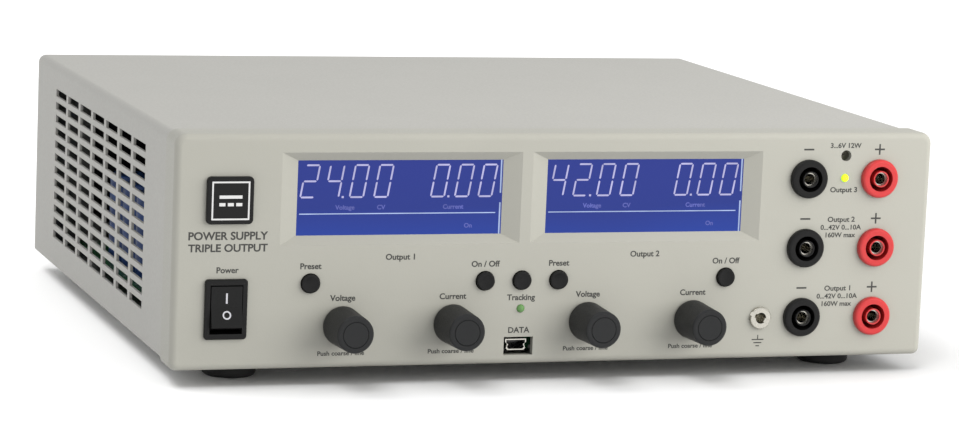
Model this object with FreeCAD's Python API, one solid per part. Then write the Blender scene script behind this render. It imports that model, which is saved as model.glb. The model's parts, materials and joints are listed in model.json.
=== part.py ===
import FreeCAD, Part
import math
import os

# Bench power supply: two adjustable outputs and one auxiliary output.
# Millimetres. X runs to the right of the front panel, the front faces -Y, Z is up.
# The origin is under the middle of the object, on the surface that it stands on.
# Every sub-part is drawn in panel coordinates: x from the middle of the front panel,
# d is the depth behind its front face, z is the height above its lower edge.
# save() moves the finished sub-part into the object's own frame.

# Overall size
PANEL_WIDTH = 282.0
PANEL_HEIGHT = 82.0
CASE_DEPTH = 243.0
FOOT_HEIGHT = 6.5
KNOB_PROUD = 18.0
REAR_PROUD = 2.2
FRONT_Y = (KNOB_PROUD - REAR_PROUD - CASE_DEPTH) / 2

# Front bezel, moulded in plastic
BEZEL_DEPTH = 14.0
FACE_THICKNESS = 2.5
RIM_THICKNESS = 2.2
FACE_EDGE_RADIUS = 2.4
TOP_CORNER_RADIUS = 4.0
BOTTOM_CORNER_RADIUS = 2.6

# Sheet steel case
SHEET = 1.0
COVER_STEP = 1.0
COVER_BEND_RADIUS = 3.0
COVER_TOP = PANEL_HEIGHT - COVER_STEP
COVER_SIDE = PANEL_WIDTH / 2 - COVER_STEP
REAR_PANEL_INSET = 1.3
REAR_PANEL_BACK = CASE_DEPTH - REAR_PANEL_INSET
REAR_PANEL_FRONT = REAR_PANEL_BACK - SHEET
FLOOR_BOTTOM = COVER_STEP + SHEET
FLOOR_TOP = FLOOR_BOTTOM + SHEET

COVER_SCREW_D = (28.0, 226.0)
COVER_SCREW_X = 134.5
COVER_LIP = 10.0
COVER_LIP_RADIUS = 1.4
COVER_SCREW_RADIUS = 1.5
COVER_SCREW_HEAD_RADIUS = 2.8
COVER_SCREW_HEAD = 0.9
FLANGE_TOP = 11.0
FRONT_FLANGE_TOP = 8.0

SUPPORT_RADIUS = 3.5
REAR_SLOT_ROWS = 8
REAR_SLOT_X = (-62.0, -8.0)
REAR_SLOT_START_Z = 16.0
REAR_SLOT_PITCH = 6.0
REAR_SLOT_HEIGHT = 2.6

# Side vents
VENT_COLUMNS = 7
VENT_ROWS = 12
VENT_LENGTH = 19.5
VENT_HEIGHT = 2.9
VENT_PITCH_D = 23.0
VENT_PITCH_Z = 5.1
VENT_START_D = 49.0
VENT_START_Z = 12.6

# Displays
DISPLAY_X = (-60.0, 30.9)
DISPLAY_Z = 59.4
DISPLAY_BEVEL = (87.0, 32.3)
DISPLAY_WINDOW = (74.4, 26.2)
GLASS_THICKNESS = 1.8

# Controls
KNOB_X = (-80.3, -40.2, 10.0, 50.0)
KNOB_Z = 15.0
KNOB_RADIUS = 7.0
KNOB_FRONT_RADIUS = 6.5
KNOB_BACK = -1.0
KNOB_CAP_RADIUS = 4.5
KNOB_CAP_THICKNESS = 1.2
SHAFT_RADIUS = 3.0
SHAFT_CLEARANCE = 0.03
SHAFT_FLAT = 1.8
BUSH_RADIUS = 3.5
ENCODER_SIZE = 12.0
BUTTON_NAMES = ("preset_1", "output_1", "tracking", "preset_2", "output_2")
BUTTON_X = (-92.1, -28.6, -15.0, -1.3, 62.2)
BUTTON_Z = 30.0
BUTTON_RADIUS = 3.25
BUTTON_GAP = 0.3
BUTTON_PROUD = 1.5
BUTTON_DISH = 0.45
BUTTON_DISH_RADIUS = 7.5
BOARD_FRONT = 10.0
BOARD_THICKNESS = 1.6
KNOB_FRONT = 0.1 - KNOB_PROUD
BUSH_FRONT = -2.6
ROTOR_RADIUS = 4.2
ROTOR_D = (4.4, 8.6)
BUTTON_COLLAR_D = 3.0
BUTTON_STEM_END = 6.0
TACT_FRONT = 7.2

# Mains rocker switch
SWITCH_X = -122.0
SWITCH_Z = 21.5
SWITCH_FRAME = (15.0, 21.0)
SWITCH_BODY = (12.9, 19.2)
SWITCH_OPENING = (11.5, 17.0)
SWITCH_DEPTH = 20.0
SWITCH_PROUD = 1.5
ROCKER_WIDTH = 10.9
ROCKER_HALF_HEIGHT = 8.1
ROCKER_PIVOT_D = 5.0
ROCKER_FACE_D = -1.7
ROCKER_ANGLE = 16.0
ROCKER_PIN_RADIUS = 1.2

# Badge
BADGE_X = -121.7
BADGE_Z = 59.3
BADGE_SIZE = 16.4
BADGE_PROUD = 1.8
BADGE_LINE_SQUARE = 13.3
BADGE_LINE = 0.55
EMBLEM_RAISE = 0.15

# Safety sockets, earth socket and small openings
SOCKET_X = (92.5, 120.2)
SOCKET_Z = (15.0, 40.3, 65.5)
SOCKET_FLANGE_RADIUS = 7.0
SOCKET_PROUD = 2.3
SOCKET_BODY_RADIUS = 6.0
SOCKET_GROOVE_RADIUS = 4.55
SOCKET_POST_RADIUS = 2.95
CONTACT_SET_BACK = 1.3
CONTACT_RADIUS = 2.5
CONTACT_BORE_RADIUS = 2.0
CONTACT_BORE_DEPTH = 18.0
SOCKET_DEPTH = 22.0
NUT_ACROSS = 15.0
NUT_THICKNESS = 2.5
EARTH_X = 76.4
EARTH_Z = 15.0
EARTH_RADIUS = 4.0
EARTH_THREAD_RADIUS = 3.0
EARTH_PROUD = 1.4
EARTH_BORE_DEPTH = 12.0
EARTH_SLOT_ANGLE = 25.0
LED_RADIUS = 1.5
TRACKING_LED = (-15.0, 19.9)
OUTPUT_LED = (106.8, 65.7)
TRIMMER = (106.9, 73.8)
TRIMMER_HOLE_RADIUS = 2.0
TRIMMER_ROTOR_RADIUS = 1.6
DATA_PORT = (-15.3, 6.5)
DATA_CUTOUT = (10.8, 6.5)
DATA_SHELL = (7.8, 4.0)
DATA_WALL = 0.4
DATA_RECESS = 2.8
DATA_LENGTH = 9.0
DATA_TONGUE_SET_BACK = 4.5

# Feet
FOOT_RADIUS = 9.5
FOOT_X = 113.5
FOOT_D = (26.0, 217.0)
FOOT_SCREW_RADIUS = 2.0
FOOT_SCREW_HEAD_RADIUS = 3.8
FOOT_POCKET_RADIUS = 4.3
FOOT_POCKET = 3.2

# Inside
MAIN_BOARD_Z = 8.0
BOARD_SCREW_RADIUS = 1.3
MAIN_BOARD = (-128.0, 128.0, 30.0, 215.0)
SUPPORT_X = (-122.0, 0.0, 122.0)
SUPPORT_D = (38.0, 207.0)
HEATSINK_D = (62.0, 192.0)
HEATSINK_X = 68.0
HEATSINK_PLATE = 4.0
HEATSINK_REACH = 26.0
HEATSINK_TOP = 64.0
HEATSINK_FINS = 9
HEATSINK_PITCH = 6.0
TRANSFORMER_PLACES = ((-30.0, 85.0), (-30.0, 155.0), (32.0, 85.0), (32.0, 155.0))
CHOKE_PLACE = (-44.0, 200.0)
CHOKE_RADIUS = 11.0
CHOKE_TUBE_RADIUS = 5.5
CAPACITOR_RADIUS = 8.0
CAPACITOR_HEIGHT = 34.0
CAPACITOR_X = 118.0
CAPACITOR_D = (75.0, 98.0, 121.0, 144.0, 167.0)

WIRE_LANE_X = -102.0
WIRE_RADIUS = 1.3

# Rear fittings
INLET_X = -104.0
INLET_Z = 40.0
INLET_FLANGE = (30.0, 52.0)
INLET_BODY = (27.0, 47.0)
INLET_DEPTH = 24.0
PLUG_CAVITY = (24.6, 17.0)
PLUG_CAVITY_DEPTH = 17.0
PLUG_CAVITY_Z = INLET_Z - 11.0
DRAWER_SIZE = (22.0, 10.0)
DRAWER_DEPTH = 18.0
DRAWER_GAP = 0.35
DRAWER_Z = INLET_Z + 12.0
FAN_X = 52.0
FAN_Z = 40.5
FAN_SIZE = 60.0
FAN_DEPTH = 20.0
FAN_DUCT_RADIUS = 28.5
FAN_BLADE_RADIUS = 27.6
FAN_HUB_RADIUS = 12.0
FAN_BLADES = 7
FAN_HOLE_SPACING = 50.0
FAN_PIN_RADIUS = 1.5
FAN_WIRE_RADIUS = 0.9
FAN_EYE = 1.5
FAN_SCREW_RADIUS = 2.0
FAN_GUARD_RINGS = (7.0, 13.5, 20.0, 26.5)
FAN_BLADE_CHORD = 15.0
FAN_BLADE_THICKNESS = 1.4
FAN_BLADE_PITCH = 40.0
INLET_PROUD = 2.6
PLUG_BEVEL = 4.5


def vec(x, d, z):
    return FreeCAD.Vector(x, d, z)


def box(x0, x1, d0, d1, z0, z1):
    return Part.makeBox(x1 - x0, d1 - d0, z1 - z0, vec(x0, d0, z0))


def centred_box(x, z, size, d0, d1):
    width, height = size
    return box(x - width / 2, x + width / 2, d0, d1, z - height / 2, z + height / 2)


def rod(x, z, radius, d0, d1):
    return Part.makeCylinder(radius, d1 - d0, vec(x, d0, z), vec(0, 1, 0))


def post(x, d, radius, z0, z1):
    return Part.makeCylinder(radius, z1 - z0, vec(x, d, z0), vec(0, 0, 1))


def cone(x, z, radius0, radius1, d0, d1):
    return Part.makeCone(radius0, radius1, d1 - d0, vec(x, d0, z), vec(0, 1, 0))


def ring(x, z, outer, inner, d0, d1):
    return rod(x, z, outer, d0, d1).cut(rod(x, z, inner, d0 - 1, d1 + 1))


def union(shapes):
    first, rest = shapes[0], shapes[1:]
    return first.fuse(rest).removeSplitter() if rest else first


def without(shape, tools):
    return shape.cut(Part.makeCompound(tools))


def group(shapes):
    return Part.makeCompound(shapes)


def mirrored(shape):
    return shape.mirror(vec(0, 0, 0), vec(1, 0, 0))


def corner(centre_x, centre_z, radius, start, d):
    """A quarter circle in the plane at depth d, from the start angle, anticlockwise from +X."""
    points = []
    for turn in (0, 45, 90):
        angle = math.radians(start + turn)
        points.append(vec(centre_x + radius * math.cos(angle), d,
                          centre_z + radius * math.sin(angle)))
    return Part.Arc(*points).toShape(), points[0], points[2]


def rounded_wire(x, z, size, radii, d):
    """A rectangle with rounded corners; radii are for the top and the bottom corners."""
    half_w, half_h = size[0] / 2, size[1] / 2
    top, bottom = radii
    arcs = [
        corner(x + half_w - top, z + half_h - top, top, 0, d),
        corner(x - half_w + top, z + half_h - top, top, 90, d),
        corner(x - half_w + bottom, z - half_h + bottom, bottom, 180, d),
        corner(x + half_w - bottom, z - half_h + bottom, bottom, 270, d),
    ]
    edges = []
    for i, (arc, _, end) in enumerate(arcs):
        edges.append(arc)
        edges.append(Part.makeLine(end, arcs[(i + 1) % 4][1]))
    return Part.Wire(Part.__sortEdges__(edges))


def rounded_block(x, z, size, radii, d0, d1):
    face = Part.Face(rounded_wire(x, z, size, radii, d0))
    return face.extrude(vec(0, d1 - d0, 0))


def front_edges(shape, d):
    """The edges that lie in the plane at depth d."""
    return [e for e in shape.Edges
            if abs(e.BoundBox.YMin - d) < 1e-6 and abs(e.BoundBox.YMax - d) < 1e-6]


def hexagon(x, z, across, d0, d1):
    radius = across / math.sqrt(3)
    points = [vec(x + radius * math.cos(math.radians(60 * i)), d0,
                  z + radius * math.sin(math.radians(60 * i))) for i in range(7)]
    return Part.Face(Part.makePolygon(points)).extrude(vec(0, d1 - d0, 0))


def tapered_opening(x, z, size0, size1, d0, d1):
    """A rectangular opening that narrows from size0 at d0 to size1 at d1."""
    wires = []
    for (width, height), d in ((size0, d0), (size1, d1)):
        corners = [vec(x + i * width / 2, d, z + k * height / 2)
                   for i, k in ((-1, -1), (1, -1), (1, 1), (-1, 1), (-1, -1))]
        wires.append(Part.makePolygon(corners))
    return Part.makeLoft(wires, True, True)


def save(name, shape):
    shape.translate(vec(0, FRONT_Y, FOOT_HEIGHT))
    solids = shape.Solids
    assert solids and shape.isValid() and all(s.Volume > 0 for s in solids), name
    (solids[0] if len(solids) == 1 else shape).exportStep("parts/" + name + ".step")
    print(name, len(solids), [round(v, 1) for v in (
        shape.BoundBox.XMin, shape.BoundBox.XMax, shape.BoundBox.YMin,
        shape.BoundBox.YMax, shape.BoundBox.ZMin, shape.BoundBox.ZMax)])


# Shells

def front_bezel():
    size = (PANEL_WIDTH, PANEL_HEIGHT)
    middle = PANEL_HEIGHT / 2
    radii = (TOP_CORNER_RADIUS, BOTTOM_CORNER_RADIUS)
    body = rounded_block(0, middle, size, radii, 0, BEZEL_DEPTH)
    body = body.makeFillet(FACE_EDGE_RADIUS, front_edges(body, 0))
    inner = (PANEL_WIDTH - 2 * RIM_THICKNESS, PANEL_HEIGHT - 2 * RIM_THICKNESS)
    inner_radii = [r - RIM_THICKNESS / 2 for r in radii]
    tools = [rounded_block(0, middle, inner, inner_radii, FACE_THICKNESS, BEZEL_DEPTH + 1)]
    for x in DISPLAY_X:
        tools.append(tapered_opening(x, DISPLAY_Z, DISPLAY_BEVEL, DISPLAY_WINDOW,
                                     0, FACE_THICKNESS))
    through = (-1, FACE_THICKNESS + 1)
    tools.append(centred_box(SWITCH_X, SWITCH_Z, SWITCH_BODY, *through))
    tools.append(centred_box(*DATA_PORT, DATA_CUTOUT, *through))
    tools += [rod(x, BUTTON_Z, BUTTON_RADIUS + BUTTON_GAP, *through) for x in BUTTON_X]
    tools += [rod(x, KNOB_Z, BUSH_RADIUS, *through) for x in KNOB_X]
    tools += [rod(x, z, SOCKET_BODY_RADIUS, *through) for x in SOCKET_X for z in SOCKET_Z]
    tools += [rod(*place, LED_RADIUS, *through) for place in (TRACKING_LED, OUTPUT_LED)]
    tools.append(rod(EARTH_X, EARTH_Z, EARTH_THREAD_RADIUS, *through))
    tools.append(rod(*TRIMMER, TRIMMER_HOLE_RADIUS, *through))
    return without(body, tools)


def vent_slots():
    """The slots of the right-hand side, as one set of cutting blocks."""
    slots = []
    for column in range(VENT_COLUMNS):
        d = VENT_START_D + column * VENT_PITCH_D
        for row in range(VENT_ROWS):
            z = VENT_START_Z + row * VENT_PITCH_Z
            slots.append(box(COVER_SIDE - 2 * SHEET, COVER_SIDE + SHEET,
                             d, d + VENT_LENGTH, z, z + VENT_HEIGHT))
    return slots


def cover_profile(inset, front, back):
    """A long block with the cover's bent edges; inset makes it thinner all round."""
    size = (2 * (COVER_SIDE - inset), COVER_TOP - COVER_STEP - 2 * inset)
    middle = (COVER_TOP + COVER_STEP) / 2
    radii = (COVER_BEND_RADIUS - inset, COVER_LIP_RADIUS - inset)
    return rounded_block(0, middle, size, radii, front, back)


def cover_hollow():
    """The space inside the cover, with its rounded corners."""
    return cover_profile(SHEET, BEZEL_DEPTH - 1, CASE_DEPTH + 1)


def lip_screw_places():
    return [(side * COVER_SCREW_X, d) for d in COVER_SCREW_D for side in (-1, 1)]


def top_cover():
    """Top and sides in one folded sheet, with narrow lips turned in under the chassis."""
    body = cover_profile(0, BEZEL_DEPTH, CASE_DEPTH)
    lip_edge = COVER_SIDE - COVER_LIP
    underside = box(-lip_edge, lip_edge, BEZEL_DEPTH - 1, CASE_DEPTH + 1, 0, FLOOR_TOP)
    slots = vent_slots()
    slots += [mirrored(slot) for slot in slots]
    holes = [post(x, d, COVER_SCREW_RADIUS, 0, FLOOR_TOP) for x, d in lip_screw_places()]
    return without(body, [cover_hollow(), underside] + slots + holes)


def chassis_base():
    """A tray of folded sheet steel: floor, side flanges and a low front flange."""
    side = COVER_SIDE - SHEET
    back = REAR_PANEL_FRONT
    parts = [box(-side, side, BEZEL_DEPTH, back, FLOOR_BOTTOM, FLOOR_TOP),
             box(-side, side, BEZEL_DEPTH, BEZEL_DEPTH + SHEET, FLOOR_BOTTOM,
                 FRONT_FLANGE_TOP)]
    for x in (-side, side - SHEET):
        parts.append(box(x, x + SHEET, BEZEL_DEPTH, back, FLOOR_BOTTOM, FLANGE_TOP))
    parts += [post(x, d, SUPPORT_RADIUS, FLOOR_BOTTOM, MAIN_BOARD_Z) for x, d in board_supports()]
    holes = [post(x, d, FOOT_SCREW_RADIUS, 0, FLOOR_TOP + 2) for x, d in foot_places()]
    holes += [post(x, d, COVER_SCREW_RADIUS, 0, FLOOR_TOP + 1) for x, d in lip_screw_places()]
    holes += [post(x, d, BOARD_SCREW_RADIUS, FLOOR_TOP, MAIN_BOARD_Z + 1)
              for x, d in board_supports()]
    return without(union(parts).common(cover_hollow()), holes)


def rear_panel():
    side = COVER_SIDE - SHEET
    body = box(-side, side, REAR_PANEL_FRONT, REAR_PANEL_BACK, FLOOR_BOTTOM, COVER_TOP - SHEET)
    through = (REAR_PANEL_FRONT - 1, REAR_PANEL_BACK + 1)
    tools = [centred_box(INLET_X, INLET_Z, INLET_BODY, *through),
             rod(FAN_X, FAN_Z, FAN_DUCT_RADIUS, *through)]
    tools += [rod(x, z, FAN_SCREW_RADIUS, *through) for x, z in fan_corners()]
    for row in range(REAR_SLOT_ROWS):
        z = REAR_SLOT_START_Z + row * REAR_SLOT_PITCH
        tools.append(box(*REAR_SLOT_X, *through, z, z + REAR_SLOT_HEIGHT))
    return without(body.common(cover_hollow()), tools)


def cross_recess(x, d, z, length, depth):
    """Two crossed slots cut up into a screw's head, whose lower face is at z."""
    half, half_width = length / 2, length / 10
    return [box(x - half, x + half, d - half_width, d + half_width, z - 1, z + depth),
            box(x - half_width, x + half_width, d - half, d + half, z - 1, z + depth)]


def cover_screws():
    """Pan head screws from below, through the cover's lips into the chassis floor."""
    screws = []
    for x, d in lip_screw_places():
        shank = post(x, d, COVER_SCREW_RADIUS, COVER_STEP - 0.5, FLOOR_TOP + 2)
        low = COVER_STEP - COVER_SCREW_HEAD
        head = Part.makeCone(COVER_SCREW_HEAD_RADIUS * 0.75, COVER_SCREW_HEAD_RADIUS,
                             COVER_SCREW_HEAD, vec(x, d, low))
        screws.append(without(shank.fuse(head), cross_recess(x, d, low, 3.2, 0.7)))
    return screws


# Feet

def foot_places():
    return [(s * FOOT_X, d) for d in FOOT_D for s in (-1, 1)]


def rubber_feet():
    """Round feet with a rounded lower edge and a pocket for the screw's head."""
    feet = []
    for x, d in foot_places():
        foot = post(x, d, FOOT_RADIUS, -FOOT_HEIGHT, FLOOR_BOTTOM)
        lower = [e for e in foot.Edges if e.BoundBox.ZMax < -FOOT_HEIGHT + 0.1]
        foot = foot.makeFillet(1.6, lower)
        foot = foot.cut(post(x, d, FOOT_POCKET_RADIUS, -FOOT_HEIGHT - 1,
                             -FOOT_HEIGHT + FOOT_POCKET))
        feet.append(foot.cut(post(x, d, FOOT_SCREW_RADIUS, -FOOT_HEIGHT, FLOOR_TOP)))
    return group(feet)


def foot_screws():
    screws = []
    for x, d in foot_places():
        under = -FOOT_HEIGHT + FOOT_POCKET
        shank = post(x, d, FOOT_SCREW_RADIUS, under - 1, FLOOR_TOP + 2)
        head = post(x, d, FOOT_SCREW_HEAD_RADIUS, under - 2.2, under)
        screws.append(without(shank.fuse(head), cross_recess(x, d, under - 2.2, 4.4, 1.1)))
    return group(screws)


# Badge

def badge_plate():
    size = (BADGE_SIZE, BADGE_SIZE)
    plate = rounded_block(BADGE_X, BADGE_Z, size, (1.6, 1.6), -BADGE_PROUD, 0)
    return plate.makeFillet(0.6, front_edges(plate, -BADGE_PROUD))


def badge_emblem():
    """A raised square line around the sign for direct current: a bar over three dashes."""
    front = -BADGE_PROUD - EMBLEM_RAISE
    outer = (BADGE_LINE_SQUARE, BADGE_LINE_SQUARE)
    inner = [side - 2 * BADGE_LINE for side in outer]
    frame = centred_box(BADGE_X, BADGE_Z, outer, front, -BADGE_PROUD)
    frame = frame.cut(centred_box(BADGE_X, BADGE_Z, inner, front - 1, 0))
    bar = centred_box(BADGE_X, BADGE_Z + 1.3, (8.0, 1.1), front, -BADGE_PROUD)
    dashes = [centred_box(BADGE_X + 2.95 * i, BADGE_Z - 1.3, (2.1, 1.1), front, -BADGE_PROUD)
              for i in (-1, 0, 1)]
    return group([frame, bar] + dashes)


# Mains switch

def switch_housing():
    flange = rounded_block(SWITCH_X, SWITCH_Z, SWITCH_FRAME, (1.2, 1.2), -SWITCH_PROUD, 0)
    flange = flange.makeFillet(0.7, front_edges(flange, -SWITCH_PROUD))
    body = centred_box(SWITCH_X, SWITCH_Z, SWITCH_BODY, 0, SWITCH_DEPTH)
    cavity = centred_box(SWITCH_X, SWITCH_Z, SWITCH_OPENING, -SWITCH_PROUD - 1, 12)
    pins = Part.makeCylinder(ROCKER_PIN_RADIUS, SWITCH_BODY[0],
                             vec(SWITCH_X - SWITCH_BODY[0] / 2, ROCKER_PIVOT_D, SWITCH_Z),
                             vec(1, 0, 0))
    shell = without(flange.fuse(body).removeSplitter(), [cavity] + terminal_tabs())
    return shell.fuse(pins.common(cavity))


def power_rocker():
    """The rocker at ON: its upper half is pressed in, level with the panel."""
    tilt = math.radians(ROCKER_ANGLE)
    top = vec(0, ROCKER_FACE_D, ROCKER_HALF_HEIGHT)
    crease = (ROCKER_PIVOT_D - ROCKER_FACE_D) * math.tan(tilt / 2)
    middle = vec(0, ROCKER_FACE_D, crease)
    back_d = ROCKER_PIVOT_D + 1.5

    def tipped(point):
        """The same point on the other half, mirrored about the rocker's middle plane."""
        d, z = point.y - ROCKER_PIVOT_D, -point.z
        return vec(0, ROCKER_PIVOT_D + d * math.cos(tilt) + z * math.sin(tilt),
                   z * math.cos(tilt) - d * math.sin(tilt))

    back_top = vec(0, back_d, ROCKER_HALF_HEIGHT)
    outline = [top, middle, tipped(top), tipped(back_top), back_top, top]
    face = Part.Face(Part.makePolygon(outline))
    body = face.extrude(vec(ROCKER_WIDTH, 0, 0))
    body.translate(vec(SWITCH_X - ROCKER_WIDTH / 2, 0, SWITCH_Z))
    hole = Part.makeCylinder(ROCKER_PIN_RADIUS + 0.05, ROCKER_WIDTH + 2,
                             vec(SWITCH_X - ROCKER_WIDTH / 2 - 1, ROCKER_PIVOT_D, SWITCH_Z),
                             vec(1, 0, 0))
    return body.cut(hole)


def terminal_tabs():
    """Flat tabs for the mains wires, behind the switch."""
    tabs = []
    for x in (-3.2, 3.2):
        for z in (-6.0, 0.0):
            tab = box(SWITCH_X + x - 0.4, SWITCH_X + x + 0.4, SWITCH_DEPTH - 1, SWITCH_DEPTH + 9,
                      SWITCH_Z + z - 2.3, SWITCH_Z + z + 2.3)
            tabs.append(tab)
    return tabs


# Displays and front board

def display_glass(x):
    size = (DISPLAY_WINDOW[0] + 4.0, DISPLAY_WINDOW[1] + 4.0)
    back = FACE_THICKNESS + GLASS_THICKNESS
    return centred_box(x, DISPLAY_Z, size, FACE_THICKNESS, back)


def display_backlight(x):
    """The light box behind a display glass, with a moulded rim that holds the glass."""
    size = (DISPLAY_WINDOW[0] + 8.0, DISPLAY_WINDOW[1] + 7.0)
    glass = (DISPLAY_WINDOW[0] + 4.0, DISPLAY_WINDOW[1] + 4.0)
    back = FACE_THICKNESS + GLASS_THICKNESS
    light_box = centred_box(x, DISPLAY_Z, size, FACE_THICKNESS, BOARD_FRONT)
    return light_box.cut(centred_box(x, DISPLAY_Z, glass, FACE_THICKNESS - 1, back))


def front_board():
    """The board behind the bezel that carries the controls, and a small one for the aux output."""
    back = BOARD_FRONT + BOARD_THICKNESS
    board = box(-110, 70, BOARD_FRONT, back, 3.5, 78.5)
    notch = (DATA_SHELL[0] + 0.6, DATA_SHELL[1] + 0.6)
    board = board.cut(centred_box(*DATA_PORT, notch, BOARD_FRONT - 1, back + 1))
    small = box(101, 112.5, BOARD_FRONT, back, 58, 79)
    return group([board, small])


# Controls

def encoder_housing(x):
    """A square body behind the bezel with a round bush that comes through it."""
    front = FACE_THICKNESS + 0.7
    half = ENCODER_SIZE / 2
    body = box(x - half, x + half, front, BOARD_FRONT, KNOB_Z - half, KNOB_Z + half)
    bush = rod(x, KNOB_Z, BUSH_RADIUS, BUSH_FRONT, front)
    chamber = rod(x, KNOB_Z, ROTOR_RADIUS + 0.3, ROTOR_D[0] - 0.3, ROTOR_D[1] + 0.3)
    hole = rod(x, KNOB_Z, SHAFT_RADIUS + SHAFT_CLEARANCE, BUSH_FRONT - 1, BOARD_FRONT - 0.2)
    return without(body.fuse(bush), [chamber, hole])


def encoder_nut(x):
    nut = hexagon(x, KNOB_Z, 10.0, -2.0, 0)
    return nut.cut(rod(x, KNOB_Z, BUSH_RADIUS, -3, 1))


def shaft_bar(x, radius, flat, d0, d1):
    """A round bar with one flat along its rotor end."""
    bar = rod(x, KNOB_Z, radius, d0, d1)
    side = box(x - radius - 1, x + radius + 1, ROTOR_D[0] - 1, d1 + 1,
               KNOB_Z + flat, KNOB_Z + radius + 1)
    return bar.cut(side)


def encoder_shaft(x):
    return shaft_bar(x, SHAFT_RADIUS, SHAFT_FLAT, KNOB_FRONT + 4.0, ROTOR_D[1] + 0.4)


def encoder_rotor(x):
    """The slotted disc that the shaft turns while it slides through."""
    disc = rod(x, KNOB_Z, ROTOR_RADIUS, *ROTOR_D)
    radius = SHAFT_RADIUS + SHAFT_CLEARANCE
    key_hole = shaft_bar(x, radius, SHAFT_FLAT + SHAFT_CLEARANCE, ROTOR_D[0] - 0.9, ROTOR_D[1] + 1)
    return disc.cut(key_hole)


def knob(x):
    """A tapered knob with a rounded front edge, a cap seat and a hollow over the nut."""
    body = cone(x, KNOB_Z, KNOB_FRONT_RADIUS, KNOB_RADIUS, KNOB_FRONT, KNOB_BACK)
    body = body.makeFillet(0.9, front_edges(body, KNOB_FRONT))
    tools = [
        rod(x, KNOB_Z, KNOB_CAP_RADIUS + 0.12, KNOB_FRONT - 1, KNOB_FRONT + KNOB_CAP_THICKNESS),
        rod(x, KNOB_Z, SHAFT_RADIUS, KNOB_FRONT + 4.0, KNOB_BACK + 1),
        rod(x, KNOB_Z, 6.15, KNOB_BACK - 3.0, KNOB_BACK + 1),
    ]
    return without(body, tools)


def knob_cap(x):
    front = KNOB_FRONT - 0.1
    cap = rod(x, KNOB_Z, KNOB_CAP_RADIUS, front, KNOB_FRONT + KNOB_CAP_THICKNESS)
    return cap.makeFillet(0.3, front_edges(cap, front))


def push_button(x):
    """A dished round cap through the bezel, a collar behind it and a stem to its switch."""
    cap = rod(x, BUTTON_Z, BUTTON_RADIUS, -BUTTON_PROUD, BUTTON_COLLAR_D)
    cap = cap.makeFillet(0.4, front_edges(cap, -BUTTON_PROUD))
    centre_d = -BUTTON_PROUD + BUTTON_DISH - BUTTON_DISH_RADIUS
    cap = cap.cut(Part.makeSphere(BUTTON_DISH_RADIUS, vec(x, centre_d, BUTTON_Z)))
    collar = rod(x, BUTTON_Z, BUTTON_RADIUS + 1.2, BUTTON_COLLAR_D, BUTTON_COLLAR_D + 1.0)
    stem = rod(x, BUTTON_Z, 1.8, BUTTON_COLLAR_D + 1.0, BUTTON_STEM_END)
    return union([cap, collar, stem])


def tact_switch(x):
    body = centred_box(x, BUTTON_Z, (6.0, 6.0), TACT_FRONT, BOARD_FRONT)
    plunger = rod(x, BUTTON_Z, 1.6, TACT_FRONT - 0.3, TACT_FRONT)
    return body.fuse(plunger)


def led(place):
    """A domed lamp through its hole, with a collar near the board."""
    x, z = place
    radius = LED_RADIUS - 0.03
    dome = Part.makeSphere(radius, vec(x, 0.3, z)).common(
        box(x - 2, x + 2, -2, 0.3, z - 2, z + 2))
    return union([dome, rod(x, z, radius, 0.3, BOARD_FRONT),
                  rod(x, z, radius + 0.4, 5.0, 6.0)])


def trimmer_body():
    x, z = TRIMMER
    body = centred_box(x, z, (6.6, 7.0), 5.0, BOARD_FRONT)
    return body.cut(rod(x, z, TRIMMER_ROTOR_RADIUS + 0.05, 4, 7.5))


def trimmer_rotor():
    """The screw of the trimmer, with a slot for a small screwdriver."""
    x, z = TRIMMER
    screw = rod(x, z, TRIMMER_ROTOR_RADIUS, 4.6, 7.4)
    return screw.cut(centred_box(x, z, (4.0, 0.6), 4, 5.3))


def data_port():
    """A small metal connector set back behind the cut-out, with a contact tongue."""
    shell = data_outline(0).extrude(vec(0, DATA_LENGTH, 0))
    hollow = data_outline(DATA_WALL).extrude(vec(0, DATA_LENGTH - 1.5, 0))
    x, z = DATA_PORT
    tongue = centred_box(x, z + 0.3, (4.8, 0.8), DATA_RECESS + DATA_TONGUE_SET_BACK,
                         DATA_RECESS + DATA_LENGTH - 1.0)
    return union([shell.cut(hollow), tongue])


def data_outline(inset):
    """The mouth of the connector: square above, pinched in at the sides and narrower below."""
    x, z = DATA_PORT
    half_w, half_h = DATA_SHELL[0] / 2 - inset, DATA_SHELL[1] / 2 - inset
    half = [(half_w, half_h), (half_w, half_h - 1.1), (half_w - 0.75, 0.1),
            (half_w - 0.3, -half_h + 0.7), (half_w - 0.9, -half_h)]
    outline = half + [(-px, pz) for px, pz in reversed(half)]
    points = [vec(x + px, DATA_RECESS, z + pz) for px, pz in outline + outline[:1]]
    return Part.Face(Part.makePolygon(points))


# Sockets

def safety_socket(x, z):
    """A shrouded socket: a flange, a threaded body and a post inside a round groove."""
    flange = rod(x, z, SOCKET_FLANGE_RADIUS, -SOCKET_PROUD, 0)
    flange = flange.makeFillet(1.1, front_edges(flange, -SOCKET_PROUD))
    body = flange.fuse(rod(x, z, SOCKET_BODY_RADIUS, 0, SOCKET_DEPTH))
    groove = ring(x, z, SOCKET_GROOVE_RADIUS, SOCKET_POST_RADIUS,
                  -SOCKET_PROUD - 1, SOCKET_DEPTH - 4)
    middle = rod(x, z, CONTACT_RADIUS, -SOCKET_PROUD - 1, SOCKET_DEPTH + 1)
    return without(body.removeSplitter(), [groove, middle])


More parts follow.
